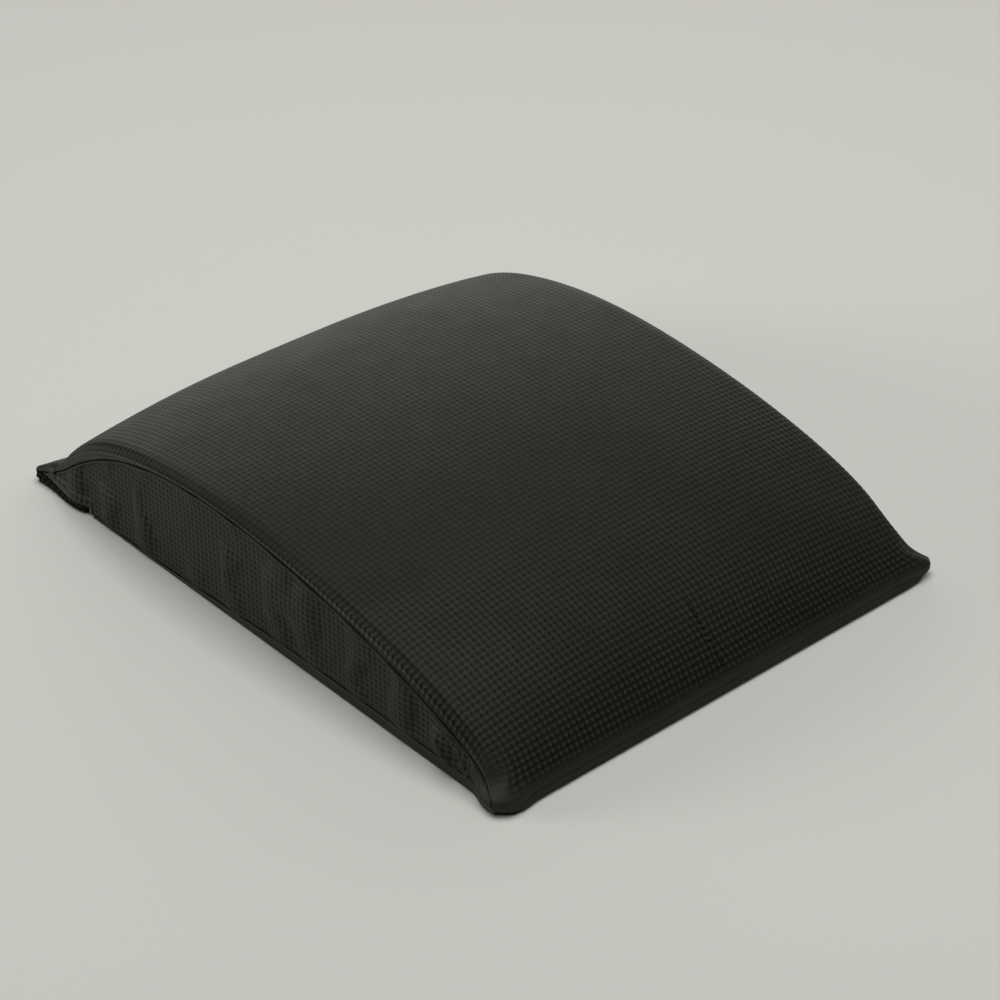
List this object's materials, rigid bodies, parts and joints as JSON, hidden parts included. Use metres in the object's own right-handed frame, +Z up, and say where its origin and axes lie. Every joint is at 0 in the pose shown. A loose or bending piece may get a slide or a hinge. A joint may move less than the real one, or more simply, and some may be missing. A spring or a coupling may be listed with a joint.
{
  "type": "ab mat",
  "caption": "Sit-up mat: a low arched foam wedge in a sewn black vinyl cover with side gussets, a base panel and a zip under a lip at the rear end.",
  "frame": {"origin": "on the floor under the middle of the padded form", "axes": "+X across the mat, +Y to the high rear end with the zip, +Z up"},
  "size_m": [0.3024, 0.3892, 0.0705],
  "materials": {
    "foam": "moulded polyurethane foam, charcoal grey, matte",
    "top_vinyl": "vinyl-coated cloth, near black, embossed with a fine square lattice, satin",
    "gusset_vinyl": "vinyl-coated cloth, near black, embossed, satin",
    "base_vinyl": "vinyl-coated cloth, near black, satin",
    "placket_vinyl": "folded vinyl-coated cloth, near black, satin",
    "zip_tape": "woven polyester tape, black",
    "zip_teeth": "moulded acetal teeth, black",
    "zip_metal": "plain pressed metal",
    "slider_metal": "die-cast metal, black enamel",
    "pull_metal": "die-cast metal, black enamel"
  },
  "bodies": {
    "cover": {"foam_core": "foam", "top_panel": "top_vinyl", "gusset_left": "gusset_vinyl", "gusset_right": "gusset_vinyl", "base_panel": "base_vinyl", "rear_placket": "placket_vinyl", "zip_tape_upper": "zip_tape", "zip_tape_lower": "zip_tape", "zip_teeth_upper": "zip_teeth", "zip_teeth_lower": "zip_teeth", "zip_bottom_stop": "zip_metal", "zip_top_stop_lower": "zip_metal", "zip_top_stop_upper": "zip_metal"},
    "slider": {"zip_slider": "slider_metal"},
    "pull": {"zip_pull": "pull_metal"}
  },
  "joints": [
    {"name": "zip_slide", "type": "slide", "parent": "cover", "child": "slider", "axis": [-1, 0, 0], "range_m": [0, 0.23]},
    {"name": "pull_hinge", "type": "hinge", "parent": "slider", "child": "pull", "pos_m": [0.115, 0.196, 0.005], "axis": [0, 0, -1], "range_deg": [0, 180]}
  ]
}
